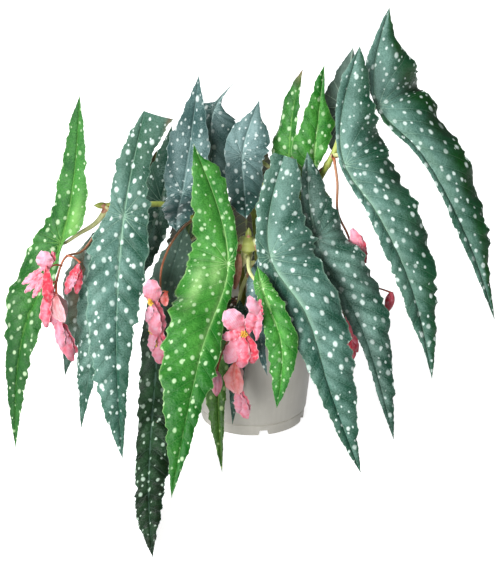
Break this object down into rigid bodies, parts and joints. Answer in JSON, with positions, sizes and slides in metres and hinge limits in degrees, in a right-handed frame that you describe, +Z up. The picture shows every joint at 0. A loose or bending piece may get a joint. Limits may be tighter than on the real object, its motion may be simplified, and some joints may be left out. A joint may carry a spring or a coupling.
{
  "type": "potted angel wing begonia",
  "caption": "Potted angel wing begonia: arching canes with long spotted wing-shaped leaves and hanging pink flowers in a round plastic nursery pot.",
  "frame": {"origin": "middle of the pot's underside, on the surface that the pot stands on", "axes": "+Z up through the pot, -Y towards the side that the picture shows, +X to that view's right"},
  "size_m": [0.4505, 0.5116, 0.4041],
  "materials": {
    "pot_grey": "satin",
    "soil_brown": "matte",
    "cane_green": "satin",
    "leaf_mid_green": "satin",
    "leaf_blue_green": "satin",
    "leaf_dark_green": "satin",
    "leaf_grey_green": "satin",
    "leaf_bright_green": "satin",
    "leaf_deep_green": "satin",
    "leaf_olive_green": "satin",
    "flower_pink": "satin"
  },
  "bodies": {
    "root": {"pot": "pot_grey", "soil": "soil_brown", "cane_left": "cane_green", "cane_front": "cane_green", "cane_top_left": "cane_green", "cane_middle": "cane_green", "cane_right": "cane_green", "cane_back": "cane_green", "leaf_far_left": "leaf_mid_green", "leaf_left": "leaf_blue_green", "leaf_left_under": "leaf_dark_green", "leaf_left_inner": "leaf_dark_green", "leaf_left_back": "leaf_dark_green", "leaf_top_left": "leaf_grey_green", "leaf_top_left_rear": "leaf_grey_green", "leaf_top": "leaf_grey_green", "leaf_upright_thin": "leaf_mid_green", "leaf_upright_bright": "leaf_bright_green", "leaf_front_right": "leaf_blue_green", "leaf_front_low": "leaf_deep_green", "leaf_front_left": "leaf_bright_green", "leaf_pot_left": "leaf_olive_green", "leaf_pot_shade": "leaf_dark_green", "leaf_right": "leaf_dark_green", "leaf_upper_right": "leaf_blue_green", "leaf_top_right": "leaf_blue_green", "leaf_pot_bright": "leaf_bright_green", "leaf_pot_pale": "leaf_grey_green", "leaf_back_upper_right": "leaf_grey_green", "leaf_back_left": "leaf_blue_green", "leaf_back_right": "leaf_mid_green", "leaf_back": "leaf_blue_green", "leaf_back_far_left": "leaf_dark_green", "leaf_back_far_right": "leaf_blue_green", "leaf_back_low": "leaf_olive_green", "flowers_left": "flower_pink", "flowers_left_middle": "flower_pink", "flowers_front": "flower_pink", "flowers_right": "flower_pink", "flowers_back": "flower_pink"}
  },
  "joints": []
}
